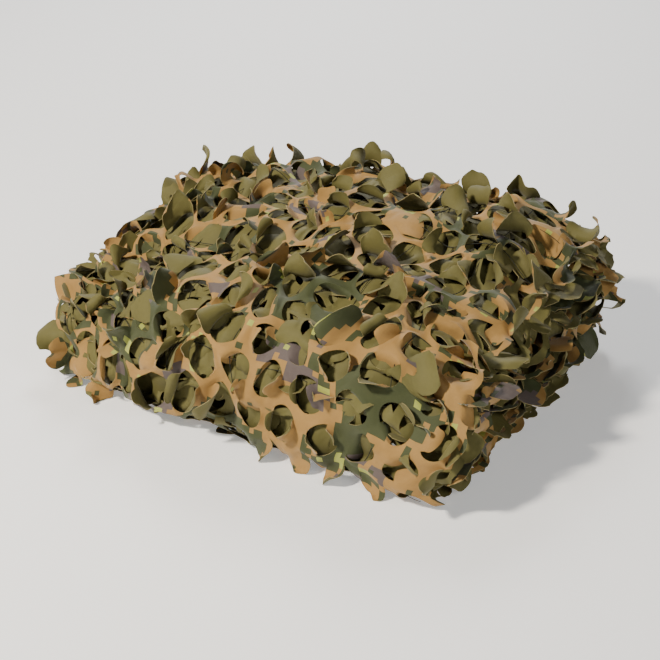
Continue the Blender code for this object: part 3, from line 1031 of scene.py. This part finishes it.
# The same woven polyester, dyed olive and left unprinted on its back. It looks plain and a little smoother.
back_material, tree, shader = new_material("dyed_woven_polyester", {
    "Roughness": 0.7,
    "Specular IOR Level": 0.35,
    "Sheen Weight": 0.10,
    "Sheen Roughness": 0.5,
})
uv = add_node(tree, "ShaderNodeUVMap", {"uv_map": "cloth"}).outputs[0]
plain = add_node(tree, "ShaderNodeRGB")
plain.outputs[0].default_value = linear(OLIVE)
colour = uneven(tree, uv, plain.outputs[0], 0.10, 50 * MM)
colour = uneven(tree, uv, colour, 0.10, 6 * MM)
tree.links.new(colour, shader.inputs["Base Color"])
tree.links.new(cloth_bump(tree, uv, 0.30), shader.inputs["Normal"])

# Woven polyester where the die has cut it. Its cut edge is coloured paler than the olive cloth, as a painted
# highlight that stands in for light caught on the edges, and draws a light line round each leaf and hole.
painted_highlight_edge_material, tree, shader = new_material("die_cut_edge_painted_highlight", {"Roughness": 0.85})
uv = add_node(tree, "ShaderNodeUVMap", {"uv_map": "cloth"}).outputs[0]
plain = add_node(tree, "ShaderNodeRGB")
plain.outputs[0].default_value = linear(PAINTED_EDGE_HIGHLIGHT)
colour = uneven(tree, uv, plain.outputs[0], 0.2, 17 * MM)
tree.links.new(colour, shader.inputs["Base Color"])

# The rows of cells in the outer run, under the pack, and in the rest of the cloth inside it.
OUTER_ROWS = round(CUT_LENGTH / ROW)
UNDER_ROWS = math.floor(UNDER_LENGTH / ROW)
LAST_ROW = math.floor((TABLE_D[-1] - UNDER_LENGTH) / ROW) - 1
INNER_ROWS = LAST_ROW + 1 - OUTER_ROWS

# Points per side of a cell, rings of faces in a web, and rows of faces along a leaf: for the outer run, and
# for the cloth behind and inside it.
FINE = (6, 3, 7)
PLAIN = (4, 2, 4)

outer_net = net_piece("net_outer", range(0, OUTER_ROWS), *FINE, seed=5)
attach(outer_net, "root")
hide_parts("camouflage_net")

# --------------------------------------------
# The net's lower half, close behind the outer run
# --------------------------------------------
# The cloth lies doubled here: its other half is turned over, with its plain olive back outwards, and shows
# through the holes of the outer run. It is the same die-cut polyester, and nothing but the fold holds it.

LOWER_DEPTH = 8 * MM

lower_half = net_piece("net_lower_half", range(-1, OUTER_ROWS - 1), *PLAIN, seed=15, depth=LOWER_DEPTH)
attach(lower_half, "root")
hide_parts("camouflage_net")

# --------------------------------------------
# The net under the pack
# --------------------------------------------
# The end of the same cloth, drawn in under the pack from the foot of the front. It lies on the floor, printed
# face down, and carries the weight of the folds.

under_net = net_piece("net_under", range(-UNDER_ROWS, 0), *PLAIN, seed=6)
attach(under_net, "root")
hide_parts("camouflage_net")

# --------------------------------------------
# The folded runs inside the pack
# --------------------------------------------
# The rest of the same cloth, laid back and forth between the outer run and the floor. Its folds show at the
# back, and the side edges of its runs at the two ends. It is made in four stretches, one after another.

STRETCH_COUNT = 4

for part in range(STRETCH_COUNT):
    first_row = OUTER_ROWS + INNER_ROWS * part // STRETCH_COUNT
    end_row = OUTER_ROWS + INNER_ROWS * (part + 1) // STRETCH_COUNT
    fold_net = net_piece(f"net_fold_{part + 1}", range(first_row, end_row), *PLAIN, seed=7 + part)
    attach(fold_net, "root")
    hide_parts("camouflage_net")

# --------------------------------------------
# The carrier net
# --------------------------------------------
# A wide mesh of thin dark thread is sewn behind the cloth and takes the load. It shows through a few holes of
# the outer run, so it is made only there.

MESH = 100 * MM
THREAD = 1.1 * MM
THREAD_DEPTH = 5 * MM
THREAD_STEP = 5 * MM
THREAD_MARGIN = 20 * MM

# Twisted polyester thread, dyed nearly black. It reads as a thin dark line with no shine.
thread_material = new_material("twisted_polyester_thread", {
    "Base Color": linear("#1E2015"),
    "Roughness": 0.8,
})[0]

curve = bpy.data.curves.new("carrier_net", "CURVE")
curve.dimensions = "3D"
curve.bevel_depth = THREAD / 2
curve.bevel_resolution = 0
curve.materials.append(thread_material)


def add_thread(s, d):
    """One thread of the carrier net along these places of the cloth."""
    place = crumpled(s, d, -THREAD_DEPTH)
    spline = curve.splines.new("POLY")
    spline.points.add(len(place) - 1)
    spline.points.foreach_set("co", np.column_stack((place, np.ones(len(place)))).ravel())


across = np.arange(-PACK_LENGTH / 2 + THREAD_MARGIN, PACK_LENGTH / 2 - THREAD_MARGIN, THREAD_STEP)
along = np.arange(UNDER_LENGTH + THREAD_MARGIN, UNDER_LENGTH + CUT_LENGTH - THREAD_MARGIN, THREAD_STEP)
for d in np.arange(along[0], along[-1], MESH):
    add_thread(across, np.full_like(across, d))
for s in np.arange(across[0], across[-1], MESH):
    add_thread(np.full_like(along, s), along)
threads = bpy.data.objects.new("carrier_net", curve)
bpy.context.scene.collection.objects.link(threads)
select_only(threads)
bpy.ops.object.convert(target="MESH")
carrier = bpy.context.object
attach(carrier, "root")
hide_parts("camouflage_net")

# --------------------------------------------
# Camera, floor and light
# --------------------------------------------
# The pack is seen from above its front right corner, on a white studio floor. A small warm light from the
# front left draws the shadows in the holes, and two large soft ones fill the right end and the back.

AZIMUTH = math.radians(31)
ELEVATION = math.radians(28)
DISTANCE = 2.4
TARGET = Vector((0.005, -0.005, 0.048))
LENS = 95
SENSOR = 36
FLOOR_SIZE = 12
FLOOR_GLOW = 0.30
SKY_STRENGTH = 0.05

backwards = Vector((
    math.sin(AZIMUTH) * math.cos(ELEVATION),
    -math.cos(AZIMUTH) * math.cos(ELEVATION),
    math.sin(ELEVATION),
))
bpy.ops.object.camera_add(location=TARGET + backwards * DISTANCE)
camera = bpy.context.object
camera.rotation_euler = backwards.to_track_quat("Z", "Y").to_euler()
camera.data.lens = LENS
camera.data.sensor_width = SENSOR
bpy.context.scene.camera = camera

bpy.ops.mesh.primitive_plane_add(size=FLOOR_SIZE)
floor = bpy.context.object
floor.name = "floor"

# Matt painted board. It is plain and nearly white, and glows a little, as if lit from all round.
floor_material = new_material("white_painted_floor", {
    "Base Color": linear("#F7F7F6"),
    "Roughness": 0.9,
    "Emission Color": linear("#FFFFFF"),
    "Emission Strength": FLOOR_GLOW,
})[0]
floor.data.materials.append(floor_material)

# Each light: place, size in metres, watts and colour.
LIGHTS = (
    ((-1.0, -1.7, 2.1), 0.3, 122, "#FFF6E8"),
    ((2.3, -0.9, 1.6), 0.9, 20, "#FFFFFF"),
    ((-1.2, 2.0, 1.9), 0.9, 58, "#FFFFFF"),
)
AIM = Vector((0, 0, 0.1))
for place, size, watts, colour in LIGHTS:
    bpy.ops.object.light_add(type="AREA", location=place)
    light = bpy.context.object
    light.rotation_euler = (Vector(place) - AIM).to_track_quat("Z", "Y").to_euler()
    light.data.size = size
    light.data.energy = watts
    light.data.color = linear(colour)[:3]

world = bpy.data.worlds.new("studio")
world.use_nodes = True
world.node_tree.nodes["Background"].inputs["Color"].default_value = linear("#FFFFFF")
world.node_tree.nodes["Background"].inputs["Strength"].default_value = SKY_STRENGTH
bpy.context.scene.world = world
